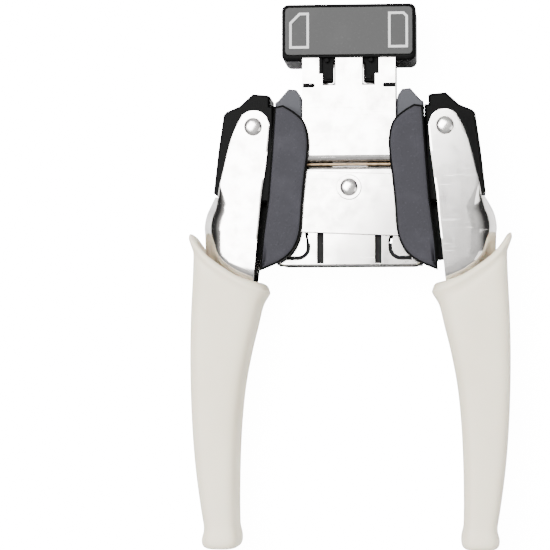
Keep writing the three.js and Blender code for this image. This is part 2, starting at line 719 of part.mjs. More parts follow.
for (const [label, side] of [['left', -1], ['right', 1]]) {
  const pinX = side * pivotX;
  const leverX = side * (pivotX - leverIn);
  const bushBore = pinShank + gap;
  const pinSeat = cheekOut + gap;
  add(`${label}_head_latch`, 'black', headLatch(side));
  add(`${label}_bracket`, 'slate', sideBracket(side));
  add(`${label}_outer_cap`, 'black', outerCap(side));
  add(`${label}_wing_front`, 'slate', wingCover(side, 1));
  add(`${label}_wing_back`, 'slate', wingCover(side, -1));
  add(`${label}_pivot_pin`, 'steel', rivet(pinX, 0, -pinSeat, pinSeat, pinShank, pinHead, domeHeight));
  add(`${label}_return_spring`, 'steel', returnSpring(side));
  add(`${label}_arm`, 'chrome', arm(side));
  add(`${label}_grip`, 'vinyl', grip(side));
  add(`${label}_push_lever`, 'darkSteel', pushLever(side));
  add(`${label}_lever_bush`, 'bronze', ring(pinX, 0, -leverHalf, leverHalf, bushBore, bushBore + bushWall));
  add(`${label}_lever_pin`, 'steel', rod(leverX, -leverDown, -crossheadCore, crossheadCore, leverPin));
}

// The tool lies on its back covers, centred on the floor.
const top = headTop + 0.5;
tool.position.set(0, (gripEnd - top) / 2, halfDepth);

export default tool;
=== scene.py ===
# %% [markdown]
# # A squeeze-handle corner cutter
# The tool lies on its back. Two chrome arms with bone-coloured vinyl grips turn on pins at the
# sides of a chrome frame, and lift a plunger into the black cutting head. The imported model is
# loaded first: it holds every piece at its real place, so each finer piece made below only has
# to keep to the boxes that it gives.

import json
import math

import bmesh
import bpy
from mathutils import Matrix, Vector


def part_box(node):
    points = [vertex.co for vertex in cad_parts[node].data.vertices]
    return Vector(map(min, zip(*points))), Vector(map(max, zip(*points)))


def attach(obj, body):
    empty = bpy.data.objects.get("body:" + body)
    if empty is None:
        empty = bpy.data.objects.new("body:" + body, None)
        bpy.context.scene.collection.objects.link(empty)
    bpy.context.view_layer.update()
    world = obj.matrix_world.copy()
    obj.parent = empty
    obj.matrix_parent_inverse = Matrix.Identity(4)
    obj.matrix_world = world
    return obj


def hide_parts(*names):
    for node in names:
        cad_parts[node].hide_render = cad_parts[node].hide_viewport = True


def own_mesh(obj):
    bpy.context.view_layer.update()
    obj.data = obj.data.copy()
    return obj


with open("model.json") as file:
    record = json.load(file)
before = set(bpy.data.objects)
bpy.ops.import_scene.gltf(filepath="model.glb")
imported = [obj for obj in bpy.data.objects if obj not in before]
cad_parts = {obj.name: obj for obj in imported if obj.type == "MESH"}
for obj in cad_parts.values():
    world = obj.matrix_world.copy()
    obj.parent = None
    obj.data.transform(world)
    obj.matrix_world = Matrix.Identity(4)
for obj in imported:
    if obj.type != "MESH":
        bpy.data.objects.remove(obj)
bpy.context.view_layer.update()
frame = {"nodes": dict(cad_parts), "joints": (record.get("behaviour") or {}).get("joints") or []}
nodes = frame["nodes"]

# %% [markdown]
# Lengths are written in millimetres, as they would be on a drawing of a hand tool, and turned
# into metres in one place. The right-hand pin is read from the frame. Outlines are drawn
# outwards from it and mirrored for the left-hand side.

# %% Units and reference points
MM = 0.001


def middle(node):
    low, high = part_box(node)
    return [(a + b) / 2 for a, b in zip(low, high)]


pin_x, pin_y, mid_z = (value / MM for value in middle("right_pivot_pin"))
SIDES = (("left", -1), ("right", 1))
print("right pin at", round(pin_x, 2), round(pin_y, 2), "half depth", round(mid_z, 2))


def at(side, out, along, up):
    """A point measured outwards from a side's pin, along Y from the pins and up from mid-depth."""
    return Vector((side * (pin_x + out), pin_y + along, mid_z + up)) * MM


# %% [markdown]
# A material is a graph of nodes, but it reads best as arithmetic. This small class wraps one
# socket: an expression such as `1 - mask * 0.4` adds the Math nodes for it, and `node` adds
# any other node from its type, its settings and its inputs.

# %% A socket that can be written in expressions
class Value:
    def __init__(self, tree, socket):
        self.tree = tree
        self.socket = socket

    def math(self, operation, first, second):
        return node(self.tree, "ShaderNodeMath", {"operation": operation}, {0: first, 1: second})

    def __add__(self, other):
        return self.math("ADD", self, other)

    __radd__ = __add__

    def __sub__(self, other):
        return self.math("SUBTRACT", self, other)

    def __rsub__(self, other):
        return self.math("SUBTRACT", other, self)

    def __mul__(self, other):
        return self.math("MULTIPLY", self, other)

    __rmul__ = __mul__

    def between(self, low, high):
        """0 below low, 1 above high and smooth in between."""
        settings = {"interpolation_type": "SMOOTHSTEP"}
        return node(self.tree, "ShaderNodeMapRange", settings, {0: self, 1: low, 2: high})


def node(tree, kind, settings=None, inputs=None, output=0):
    made = tree.nodes.new(kind)
    for name, value in (settings or {}).items():
        if name == "stops":
            ramp = made.color_ramp
            while len(ramp.elements) < len(value):
                ramp.elements.new(0.5)
            for element, (position, colour) in zip(ramp.elements, value):
                element.position = position
                element.color = colour
        else:
            setattr(made, name, value)
    for name, value in (inputs or {}).items():
        socket = made.inputs[name]
        if isinstance(value, Value):
            tree.links.new(value.socket, socket)
        else:
            socket.default_value = value
    return Value(tree, made.outputs[output])


def place(tree, scale=(1, 1, 1)):
    """The point's place in the object, in metres, stretched by scale."""
    where = node(tree, "ShaderNodeTexCoord", output=3)
    return node(tree, "ShaderNodeVectorMath", {"operation": "MULTIPLY"}, {0: where, 1: scale})


def noise(tree, where, scale, detail=3.0, roughness=0.55):
    inputs = {"Vector": where, "Scale": scale, "Detail": detail, "Roughness": roughness}
    return node(tree, "ShaderNodeTexNoise", inputs=inputs)


def mix_colour(tree, factor, first, second):
    settings = {"data_type": "RGBA"}
    inputs = {0: factor, 6: first, 7: second}
    return node(tree, "ShaderNodeMix", settings, inputs, output=2)


def bump(tree, height, strength, distance):
    inputs = {"Height": height, "Strength": strength, "Distance": distance * MM}
    return node(tree, "ShaderNodeBump", inputs=inputs)


def material(name, build, constants):
    """A Principled material: build returns what varies, and constants sit on its sockets."""
    made = bpy.data.materials.new(name)
    made.use_nodes = True
    tree = made.node_tree
    shader = next(n for n in tree.nodes if n.type == "BSDF_PRINCIPLED")
    for socket, value in constants.items():
        shader.inputs[socket].default_value = value
    for socket, value in build(tree).items():
        tree.links.new(value.socket, shader.inputs[socket])
    print("material", name, len(tree.nodes), "nodes")
    return made


def grey(level, warmth=0.0):
    return (level * (1 + warmth), level, level * (1 - warmth), 1.0)


# %% [markdown]
# ## Chrome plate
# The neck, yoke, crosshead and arms are pressed steel with bright decorative chrome. Real
# plating isn't a perfect mirror: the sheet under it keeps faint waves from the press, and
# handling leaves a haze. Long soft noise bends the reflections a little, fine noise moves the
# roughness, and a few hairlines run across it.

# %% Chrome
def chrome(wave, haze):
    def build(tree):
        where = place(tree)
        slow = noise(tree, where, 45.0, 1.0)
        smear = noise(tree, where, 210.0, 4.0)
        grain = noise(tree, place(tree, (900, 60, 900)), 1.0, 2.0)
        hairline = noise(tree, place(tree, (70, 4200, 300)), 1.0, 1.0).between(0.68, 0.78)
        rough = smear * haze + hairline * 0.06 + grain * 0.03 + 0.045
        tone = mix_colour(tree, smear.between(0.35, 0.75), grey(0.78, 0.03), grey(0.56, 0.035))
        height = slow * wave + grain * 0.012 - hairline * 0.05
        return {"Base Color": tone, "Roughness": rough, "Normal": bump(tree, height, 0.6, 0.12)}
    return build


chrome_flat = material("chrome_flat", chrome(0.5, 0.16), {"Metallic": 1.0})
chrome_bent = material("chrome_bent", chrome(0.9, 0.13), {"Metallic": 1.0})


def chrome_with_painted_shade(tree):
    """Chrome with painted shade: a face that looks up into the tool is painted dull and dark, standing in
    for the shade inside the tool.
    """
    look = node(tree, "ShaderNodeTexCoord", output=1)
    # painted shade: faces that look up into the tool are coloured near black, standing in for the shade
    # inside it
    painted_shade = node(tree, "ShaderNodeSeparateXYZ", inputs={0: look}, output=2).between(0.4, 0.6)
    plating = chrome(0.5, 0.16)(tree)
    tone = mix_colour(tree, painted_shade, plating["Base Color"], grey(0.012))
    return {"Base Color": tone, "Roughness": plating["Roughness"] + painted_shade * 0.4,
            "Normal": plating["Normal"]}


chrome_back = material("chrome_back", chrome_with_painted_shade, {"Metallic": 1.0})


# %% [markdown]
# ## Bare steel
# Rivets and pins are satin steel, turned on a lathe: a ring-like grain round each axis is too
# small to see, so a fine noise stands for it. The punch and its levers are oil-blackened.

# %% Steel, blackened steel and bronze
def metal(light, dark, base, spread, warmth=0.0):
    def build(tree):
        where = place(tree)
        cloud = noise(tree, where, 380.0, 4.0)
        fine = noise(tree, where, 2600.0, 2.0)
        tone = mix_colour(tree, cloud.between(0.3, 0.7), grey(dark, warmth), grey(light, warmth))
        return {
            "Base Color": tone,
            "Roughness": cloud * spread + fine * 0.08 + base,
            "Normal": bump(tree, fine * 0.5 + cloud * 0.5, 0.35, 0.05),
        }
    return build


rivet_steel = material("rivet_steel", metal(0.86, 0.7, 0.1, 0.14, 0.03), {"Metallic": 1.0})
tool_steel = material("tool_steel", metal(0.62, 0.48, 0.2, 0.2), {"Metallic": 1.0})
OILED = {"Metallic": 0.6, "Specular IOR Level": 0.1}
dark_steel = material("dark_steel", metal(0.012, 0.006, 0.4, 0.2), OILED)
bronze = material("bronze", metal(0.3, 0.14, 0.28, 0.2, 0.38), {"Metallic": 1.0})


# %% [markdown]
# ## Moulded black and slate
# The head and the outer caps are black plastic with a fine spark-eroded grain. The wing
# covers have a coarser, drier slate-coloured texture. One builder serves them all: a grain
# size, two tones and a roughness. Paler scuffs come where a slow noise peaks.

# %% A builder for moulded plastics
def moulded(tone, scuff, grain_scale, grain_depth, rough, scuffing=0.25):
    def build(tree):
        where = place(tree)
        grain = noise(tree, where, grain_scale, 3.0, 0.65)
        patch = noise(tree, where, 90.0, 3.0)
        speck = noise(tree, where, 1200.0, 1.0).between(0.62, 0.74)
        worn = patch.between(0.45, 0.8) * scuffing + speck * 0.45
        colour = mix_colour(tree, worn, tone, scuff)
        return {
            "Base Color": colour,
            "Roughness": grain * 0.18 + worn * 0.12 + rough,
            "Normal": bump(tree, grain, 0.55, grain_depth),
        }
    return build


# %% [markdown]
# Dry moulded surfaces give back very little of a lamp, so their mirror part is turned down.
# The fins beside the neck are of the same slate as the wing covers; here they are painted paler, a lit
# copy of it: painted light.

# %% Black, grey and slate
DULL = {"Specular IOR Level": 0.08}
DEEP = {"Specular IOR Level": 0.03}
head_black = material("head_black", moulded(grey(0.003), grey(0.01), 2400.0, 0.05, 0.36), DEEP)
cap_black = material("cap_black", moulded(grey(0.002), grey(0.006), 1500.0, 0.04, 0.3), DEEP)
rim_black = material("rim_black", moulded(grey(0.002), grey(0.005), 1700.0, 0.05, 0.4), DEEP)
panel_grey = material("panel_grey", moulded(grey(0.062), grey(0.085), 3000.0, 0.05, 0.42), DULL)
SLATE = (0.031, 0.0303, 0.036, 1.0)
SLATE_WORN = (0.05, 0.0488, 0.0575, 1.0)
wing_slate = material("wing_slate", moulded(SLATE, SLATE_WORN, 1300.0, 0.1, 0.5, 0.55), DULL)
# painted light: the wing slate and its worn tone made paler for the fins, a lit copy of one material
FIN_SLATE_LIT = (0.066, 0.067, 0.075, 1.0)
FIN_WORN_LIT = (0.085, 0.086, 0.095, 1.0)
fin_slate_lit = material("fin_slate_lit", moulded(FIN_SLATE_LIT, FIN_WORN_LIT, 1300.0, 0.06, 0.5, 0.4), DULL)
mark_ink = material("mark_ink", moulded(grey(0.6), grey(0.5), 2600.0, 0.03, 0.5), DULL)


# %% [markdown]
# ## Vinyl
# The grips are dipped or moulded soft vinyl, bone-coloured and slightly translucent. A fine
# pore bump breaks up the highlight, and a slow mottling shows where hands have held it.

# %% Bone vinyl
VINYL = (0.92, 0.835, 0.65, 1.0)
VINYL_HANDLED = (0.86, 0.775, 0.585, 1.0)


def vinyl_build(tree):
    where = place(tree)
    pore = noise(tree, where, 1900.0, 3.0, 0.6)
    ripple = noise(tree, place(tree, (1, 0.35, 1)), 160.0, 2.0)
    mottled = noise(tree, where, 38.0, 4.0).between(0.42, 0.72)
    return {
        "Base Color": mix_colour(tree, mottled * 0.55, VINYL, VINYL_HANDLED),
        "Roughness": pore * 0.14 + mottled * 0.08 + 0.4,
        "Normal": bump(tree, pore * 0.3 + ripple * 0.7, 0.3, 0.14),
    }


vinyl = material("vinyl", vinyl_build, {"Subsurface Weight": 0.08, "Subsurface Scale": 0.002})


# %% [markdown]
# ## Finishes for the pieces that keep their frame mesh
# Many pieces are already the right shape. Each gets its finish, a weld of the split corners,
# and a small bevel, because a real edge always has a radius that catches the light. Shading
# is smooth where the surface turns gently and stays sharp at real corners.

# %% Dress the frame's own pieces
FINISHES = {
    "head_housing": (head_black, 0.35), "chip_cover": (head_black, 0.25),
    "head_front_panel": (panel_grey, 0.0),
    "large_cut_mark": (mark_ink, 0.0), "small_cut_mark": (mark_ink, 0.0),
    "large_die": (tool_steel, 0.15), "small_die": (tool_steel, 0.15),
    "large_paper_guide": (tool_steel, 0.1), "small_paper_guide": (tool_steel, 0.1),
    "neck_channel": (chrome_flat, 0.5), "neck_back_plate": (chrome_back, 0.2),
    "neck_foot": (chrome_bent, 0.3), "neck_cross_rod": (bronze, 0.1),
    "yoke_front": (chrome_flat, 0.32), "yoke_back": (chrome_back, 0.2),
    "rivet_washer": (chrome_flat, 0.2), "rivet_sleeve": (tool_steel, 0.1),
    "plunger_bar": (tool_steel, 0.2),
    "crosshead_body": (dark_steel, 0.2), "crosshead_front_plate": (chrome_bent, 0.3),
    "crosshead_back_plate": (chrome_back, 0.18), "punch_block": (dark_steel, 0.2),
    "large_blade": (tool_steel, 0.08), "small_blade": (tool_steel, 0.08),
}
for label, _ in SIDES:
    FINISHES.update({
        f"{label}_head_latch": (head_black, 0.1), f"{label}_bracket": (fin_slate_lit, 0.3),
        f"{label}_outer_cap": (cap_black, 0.35),
        f"{label}_push_lever": (dark_steel, 0.15), f"{label}_lever_bush": (bronze, 0.08),
        f"{label}_lever_pin": (tool_steel, 0.15),
    })


WELD_WITHIN = 0.004      # corners closer than this are one corner


def soften(piece, width, segments=3, degrees=34.0):
    """Weld split corners, then round every edge sharper than the angle by width millimetres."""
    weld = piece.modifiers.new("weld", "WELD")
    weld.merge_threshold = WELD_WITHIN * MM
    if width > 0:
        rounding = piece.modifiers.new("rounding", "BEVEL")
        rounding.width = width * MM
        rounding.segments = segments
        rounding.limit_method = "ANGLE"
        rounding.angle_limit = math.radians(degrees)
        rounding.use_clamp_overlap = True
    shading = piece.modifiers.new("weighted", "WEIGHTED_NORMAL")
    shading.keep_sharp = True
    shading.weight = 80


def dress(piece, finish):
    piece.data.materials.clear()
    piece.data.materials.append(finish)


for name, (finish, width) in FINISHES.items():
    dress(nodes[name], finish)
    soften(nodes[name], width)
print("dressed", len(FINISHES), "pieces")


# %% [markdown]
# ## Skins over rings
# Grips, covers and arms are all swept forms. One helper joins rings of equally many points
# with quads and closes the ends, which keeps the mesh even enough to subdivide. Another runs a
# smooth curve through a list of stations.

# %% Build a skin from rings
def skin(name, rings, finish, close_ends=True, closed_rings=True, subdivide=0):
    mesh = bmesh.new()
    rows = [[mesh.verts.new(point) for point in ring] for ring in rings]
    count = len(rows[0])
    last = count if closed_rings else count - 1
    for upper, lower in zip(rows, rows[1:]):
        for i in range(last):
            j = (i + 1) % count
            mesh.faces.new((upper[i], upper[j], lower[j], lower[i]))
    if close_ends:
        mesh.faces.new(rows[0][::-1])
        mesh.faces.new(rows[-1])
    bmesh.ops.recalc_face_normals(mesh, faces=mesh.faces)
    data = bpy.data.meshes.new(name)
    mesh.to_mesh(data)
    mesh.free()
    piece = bpy.data.objects.new(name, data)
    bpy.context.collection.objects.link(piece)
    data.materials.append(finish)
    for face in data.polygons:
        face.use_smooth = True
    if subdivide:
        smoothing = piece.modifiers.new("subdivide", "SUBSURF")
        smoothing.levels = smoothing.render_levels = subdivide
    return piece


def spline(points, steps):
    """Catmull-Rom points through tuples of numbers, steps to each stretch."""
    padded = [points[0], *points, points[-1]]
    out = []
    for a, b, c, d in zip(padded, padded[1:], padded[2:], padded[3:]):
        for step in range(steps):
            t = step / steps
            out.append(tuple(
                0.5 * (2 * q + (r - p) * t + (2 * p - 5 * q + 4 * r - s) * t ** 2
                       + (3 * q - p - 3 * r + s) * t ** 3)
                for p, q, r, s in zip(a, b, c, d)))
    out.append(tuple(points[-1]))
    return out


# %% [markdown]
# ## The grips
# A vinyl grip is a thick sleeve over the arm. Its mouth flares like a trumpet and ends in a
# rounded lip that dips in the middle. Below it the sleeve swells under the palm, tapers to the
# little finger and ends in a small flange. The sleeve is swept from stations down its length.
# Each station gives the outer and the inner edge, half the depth, and how square it is.

# %% The grip's stations
GRIP = [
    # outer x, y, inner x, y, half depth, squareness
    (22.9, -35.6, -4.85, -54.7, 12.97, 4.4),
    (22.9, -37.4, -4.85, -56.1, 12.97, 4.4),
    (22.5, -39.0, -4.65, -57.1, 12.85, 4.5),
    (21.75, -41.0, -3.9, -58.3, 12.5, 4.7),
    (21.2, -42.8, -2.85, -60.0, 12.32, 5.0),
    (21.15, -46.0, -1.9, -62.5, 12.52, 5.2),
    (21.4, -53.0, -0.5, -68.5, 12.5, 5.2),
    (21.95, -65.0, 1.7, -77.5, 12.5, 5.2),
    (22.15, -80.0, 3.9, -89.5, 12.48, 5.0),
    (21.7, -98.0, 5.2, -103.5, 12.4, 4.8),
    (20.5, -115.0, 5.75, -117.5, 12.3, 4.6),
    (18.7, -129.0, 5.85, -130.0, 12.15, 4.4),
    (17.4, -136.9, 5.7, -136.9, 12.0, 4.2),
]
FOOT = [
    (17.35, -138.6, 5.35, -138.4, 12.1, 4.2),
    (17.75, -139.9, 4.95, -139.8, 12.4, 4.2),
    (18.1, -141.1, 4.85, -141.2, 12.6, 4.2),
    (18.15, -142.3, 4.95, -142.6, 12.65, 4.2),
    (17.95, -143.4, 5.3, -143.7, 12.5, 4.0),
    (17.3, -144.3, 6.1, -144.5, 12.0, 3.8),
    (15.9, -144.9, 7.9, -144.95, 10.6, 3.4),
]
print("grip stations", len(GRIP), "and", len(FOOT), "at the foot")


# %% [markdown]
# A ring is a squared oval. Its two ends lie on the station's edges, and its middle hangs down
# by the dip of the lip, which fades out further down the sleeve.

# %% Rings across the grip
AROUND = 48
DIP = 3.6                # how far the lip's middle hangs below the line between its ends
DIP_FADES = 18.0         # and the depth at which the sleeve is straight again


def across(side, station, grow=0.0, dip=0.0):
    """The ring round one station. It is pushed out by grow, and dips down in the middle."""
    outer_x, outer_y, inner_x, inner_y, half, square = station
    width = math.hypot(outer_x - inner_x, outer_y - inner_y) / 2
    slope_x, slope_y = (outer_y - inner_y) / (2 * width), -(outer_x - inner_x) / (2 * width)
    ring = []
    for i in range(AROUND):
        angle = 2 * math.pi * (i + 0.5) / AROUND
        c, s = math.cos(angle), math.sin(angle)
        u = math.copysign(abs(c) ** (2 / square), c)
        v = math.copysign(abs(s) ** (2 / square), s)
        share = 0.5 + 0.5 * u * (1 + grow / width)
        sag = dip * (1 - u * u)
        x = inner_x + (outer_x - inner_x) * share + slope_x * sag
        y = inner_y + (outer_y - inner_y) * share + slope_y * sag
        ring.append(at(side, x, y, v * (half + grow)))
    return ring


print("a ring has", AROUND, "points")


# %% [markdown]
# The mouth is open, so its rings come up the inside, turn over the rounded lip and go down the
# outside. The foot is closed by shrinking rings and a low cap.

# %% Sweep both grips
ROLL = 1.6               # radius of the rounded lip
LIP_TURNS = (180, 150, 125, 100, 75, 50, 25)
INSIDE = (
    # depth below the lip, growth, share of the dip
    (11.0, -3.2, 0.3), (6.5, -3.1, 0.7), (3.2, -2.9, 0.95),
)
FIRST_OUTSIDE = 5        # the curve's earlier points lie under the rolled lip


def moved_down(station, depth):
    """The station, that many millimetres further down the sleeve."""
    outer_x, outer_y, inner_x, inner_y, half, square = station
    return (outer_x - 0.1 * depth, outer_y - 0.96 * depth,
            inner_x + 0.3 * depth, inner_y - 0.94 * depth, half, square)


def grip(label, side):
    lip = GRIP[0]
    rings = [across(side, moved_down(lip, depth), grow, DIP * share) for depth, grow, share in INSIDE]
    for turn in LIP_TURNS:
        angle = math.radians(turn)
        station = moved_down(lip, ROLL * (1 - math.sin(angle)))
        rings.append(across(side, station, ROLL * (math.cos(angle) - 1), DIP))
    for station in spline(GRIP, 4)[FIRST_OUTSIDE:] + FOOT:
        depth = math.hypot(station[0] - lip[0], station[1] - lip[1])
        fade = max(0.0, 1 - depth / DIP_FADES)
        rings.append(across(side, station, 0.0, DIP * fade * fade * (3 - 2 * fade)))
    piece = skin(f"{label}_grip_vinyl", rings, vinyl, close_ends=False, subdivide=1)
    mesh = bmesh.new()
    mesh.from_mesh(piece.data)
    mesh.verts.ensure_lookup_table()
    cap = mesh.faces.new([mesh.verts[i] for i in range(len(mesh.verts) - AROUND, len(mesh.verts))])
    bmesh.ops.poke(mesh, faces=[cap])
    bmesh.ops.recalc_face_normals(mesh, faces=mesh.faces)
    mesh.to_mesh(piece.data)
    mesh.free()
    for face in piece.data.polygons:
        face.use_smooth = True
    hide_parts(f"{label}_grip")
    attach(piece, f"{label}_handle")
    print(piece.name, len(piece.data.vertices), "points")
    return piece


for label, side in SIDES:
    grip(label, side)


# %% [markdown]
# ## Wing covers
# A wing cover is a slate-textured face inside a thin black rim. Its outline is a curve along
# the neck side and a few straight stretches along the arm side. Rings are made from it by
# moving it inwards.

# %% Wing outlines and their insets
WING_INNER = [
    (-10.5, 7.2), (-14.7, 4.6), (-17.9, 1.2), (-19.2, -4.5), (-19.0, -10), (-18.0, -18.5),
    (-17.2, -27), (-16.5, -36), (-14.8, -41.2), (-12.3, -44.5), (-8.7, -47.0), (-2.5, -49.6),
]
WING_OUTER = [(-3.4, -38.0), (-5.2, -24.7), (-6.4, -9.0), (-7.4, 6.7)]


def inset(outline, distance):
    """The closed outline moved inwards; its points keep their order."""
    count = len(outline)
    area = sum(a[0] * b[1] - b[0] * a[1] for a, b in zip(outline, outline[1:] + outline[:1]))
    turn = 1 if area > 0 else -1
    moved = []
    for i, here in enumerate(outline):
        before, after = Vector(outline[i - 1]), Vector(outline[(i + 1) % count])
        into, out = (Vector(here) - before).normalized(), (after - Vector(here)).normalized()
        normal = Vector((-into.y - out.y, into.x + out.x)).normalized() * turn
        corner = max(0.45, normal.dot(Vector((-into.y, into.x)) * turn))
        moved.append(tuple(Vector(here) + normal * distance / corner))
    return moved


print("wing outline", len(WING_INNER) + len(WING_OUTER), "points")


# %% [markdown]
# The rings climb the cover's wall, turn over the rim, dip into the fine groove and come up onto
# the face. The back cover is the same, but shorter at the foot. A skirt stands under the neck
# side of each cover.

# %% Covers and skirts
def two_tone(piece, second, is_second):
    """Give a second material to the faces whose centre passes the test."""
    piece.data.materials.append(second)
    for face in piece.data.polygons:
        face.material_index = 1 if is_second(face) else 0


WING_LOW, WING_TOP = 11.25, 12.97
WING_STEPS = [
    # inset, drop below the top
    (0.0, WING_TOP - WING_LOW), (0.0, 0.55), (0.08, 0.3), (0.24, 0.1), (0.45, 0.02), (0.6, 0.06),
    (0.68, 0.22), (0.8, 0.24), (0.95, 0.12), (1.3, 0.07), (2.2, 0.05),
]
GROOVE_RING = 6
BACK_FOOT_FROM, BACK_FOOT_LIFT = -36, 0.3    # the back's foot is drawn up by this share below there
SKIRT_TOP, SKIRT_FOOT = 11.4, 9.6
SKIRT_OUT, SKIRT_IN = 0.5, 1.7               # its two faces, from the outline


def wing(label, side, face):
    outline = spline(WING_INNER, 4) + WING_OUTER
    if face < 0:
        outline = [(x, y - BACK_FOOT_LIFT * min(0.0, y - BACK_FOOT_FROM)) for x, y in outline]
    rings = [
        [at(side, x, y, face * (WING_TOP - drop)) for x, y in inset(outline, distance)]
        for distance, drop in WING_STEPS
    ]
    name = "front" if face > 0 else "back"
    piece = skin(f"{label}_wing_{name}_cover", rings, rim_black)
    wall = len(outline)
    two_tone(piece, wing_slate, lambda f: wall * GROOVE_RING <= f.index != wall * (len(rings) - 1))
    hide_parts(f"{label}_wing_{name}")
    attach(piece, "frame")
    skirt_line = spline(WING_INNER[2:8], 5)
    skirt = []
    for depth in (SKIRT_TOP, SKIRT_FOOT):
        outer_edge = [at(side, x + SKIRT_OUT, y, face * depth) for x, y in skirt_line]
        inner_edge = [at(side, x + SKIRT_IN, y, face * depth) for x, y in skirt_line[::-1]]
        skirt.append(outer_edge + inner_edge)
    wall_piece = skin(f"{label}_wing_{name}_skirt", skirt, rim_black)
    soften(wall_piece, 0.2)
    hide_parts(f"{label}_wing_{name}")
    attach(wall_piece, "frame")
    return piece


for label, side in SIDES:
    for face in (1, -1):
        wing(label, side, face)
print("wings made")


# %% [markdown]
# ## Pressed arms
# An arm is one sheet of chromed steel, folded to a U round its levers. It is drawn as a skin
# of rungs from the inner edge, over the fold and down the outer wall to the back, and given
# its thickness afterwards. The fold is tight by the pin and opens to a broad shoulder above
# the grip, where it bends the reflections into long dark streaks.

# %% The arms' edges, top to bottom
ARM_EYE = 5.7
ARM_OUTER = [
    (3.9, 4.2), (6.3, -0.4), (8.3, -6), (10.2, -14), (11.4, -19.0), (12.4, -22.3), (14.7, -25.7),
    (16.7, -29.4), (17.6, -33.8), (17.4, -38), (17.3, -47), (18.2, -62), (18.4, -80), (17.9, -97),
]
ARM_INNER = [
    (-5.6, 0.5), (-5.2, -4.5), (-4.8, -9), (-3.8, -17), (-3.2, -21.0), (-2.8, -24), (-2.4, -28),
    (-2.0, -32.5), (-1.6, -36.5), (-1.3, -39), (0.0, -52), (2.6, -67), (5.6, -79), (8.2, -94),
]
ARM_HALF = 10.87
CHEEK_SHEET = 1.35
WALL_FROM = 27.3         # the outer wall begins this far from the pin
FLAT_STEPS, FOLD_STEPS = 18, 16
FOLD_TIGHT, FOLD_OPENS = 0.35, 8.4   # radius of the fold by the pin, and what the shoulder adds
SHOULDER_FROM, SHOULDER_OVER = 20.0, 10.0    # how far below the pin it opens, and over what length
COLLAR_EYE = (-9.1, -18.7)           # centre of the curve that the collar's mouth follows
COLLAR_RADIUS, SINK_OVER, SINK = 32.6, 3.4, 2.2      # and the step down beyond that curve


def arm_edges():
    """Pairs of outer and inner edge points down the arm."""
    top_angle, spread, count = 104.0, 46.0, 7
    pairs = []
    for i in range(count):
        turn = spread * i / count
        points = [
            (ARM_EYE * math.cos(math.radians(a)), ARM_EYE * math.sin(math.radians(a)))
            for a in (top_angle - turn, top_angle + turn)
        ]
        pairs.append((*points[0], *points[1]))
    below = [(*o, *i) for o, i in zip(ARM_OUTER, ARM_INNER)]
    return pairs + spline(below, 8)


def fold_radius(y):
    """Tight beside the pin, opening to a broad shoulder between two heights."""
    share = min(1.0, max(0.0, (-y - SHOULDER_FROM) / SHOULDER_OVER))
    share = share * share * (3 - 2 * share)
    return FOLD_TIGHT + FOLD_OPENS * share


def sunk(x, y):
    """How far the cheek has stepped down where it goes under the collar."""
    share = (math.hypot(x - COLLAR_EYE[0], y - COLLAR_EYE[1]) - COLLAR_RADIUS) / SINK_OVER
    share = min(1.0, max(0.0, share))
    return SINK * share * share


def rung(side, edge):
    ox, oy, ix, iy = edge
    width = math.hypot(ox - ix, oy - iy)
    radius = min(fold_radius((oy + iy) / 2), max(width * 0.55, 0.01))
    profile = [(t / FLAT_STEPS * (width - radius), ARM_HALF) for t in range(FLAT_STEPS)]
    for step in range(FOLD_STEPS + 1):
        angle = math.pi / 2 * step / FOLD_STEPS
        profile.append((width - radius * (1 - math.sin(angle)), ARM_HALF - radius * (1 - math.cos(angle))))
    profile += [(u, -z) for u, z in reversed(profile)]
    width = max(width, 1e-6)
    ring = []
    for u, z in profile:
        x, y = ix + (ox - ix) * u / width, iy + (oy - iy) * u / width
        depth = sunk(x, y) * min(1.0, (abs(z) / ARM_HALF) ** 2)
        ring.append(at(side, x, y, z - math.copysign(depth, z)))
    return ring


print("arm edges", len(arm_edges()), "rungs")


# %% [markdown]
# The wall between the two cheeks is open beside the pin, where the levers come out, so those
# faces are taken away. The sheet's thickness goes inwards from the skin.

# %% Fold both arms
def arm(label, side):
    rings = [rung(side, edge) for edge in arm_edges()]
    piece = skin(f"{label}_arm_sheet", rings, chrome_bent, close_ends=False, closed_rings=False)
    pin = at(side, 0, 0, 0)
    mesh = bmesh.new()
    mesh.from_mesh(piece.data)
    bare = [
        f for f in mesh.faces
        if abs(f.calc_center_median().z - pin.z) < (ARM_HALF - CHEEK_SHEET) * MM
        and (f.calc_center_median() - pin).xy.length < WALL_FROM * MM
    ]
    bmesh.ops.delete(mesh, geom=bare, context="FACES")
    bmesh.ops.remove_doubles(mesh, verts=mesh.verts, dist=0.001 * MM)
    bmesh.ops.recalc_face_normals(mesh, faces=mesh.faces)
    front = max(mesh.faces, key=lambda f: f.calc_center_median().z)
    if front.normal.z < 0:
        bmesh.ops.reverse_faces(mesh, faces=mesh.faces)
    mesh.to_mesh(piece.data)
    mesh.free()
    for face in piece.data.polygons:
        face.use_smooth = True
    sheet = piece.modifiers.new("sheet", "SOLIDIFY")
    sheet.thickness = CHEEK_SHEET * MM
    sheet.offset = -1
    sheet.use_even_offset = True
    soften(piece, 0.35, 3, 50.0)
    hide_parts(f"{label}_arm")
    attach(piece, f"{label}_handle")
    return piece


for label, side in SIDES:
    arm(label, side)
print("arms made")


# %% [markdown]
# ## Turned pins and rivets
# A pin head is a low dome over a small flat collar. Each is one turned profile: a list of
# radii and heights from the crown to the shank, mirrored for the other end.

# %% Turn the pins
def turned(name, centre, profile, finish, around=48):
    turns = [2 * math.pi * i / around for i in range(around)]
    rings = [
        [centre + Vector((math.cos(turn) * r, math.sin(turn) * r, z)) * MM for turn in turns]
        for r, z in profile
    ]
    return skin(name, rings, finish)


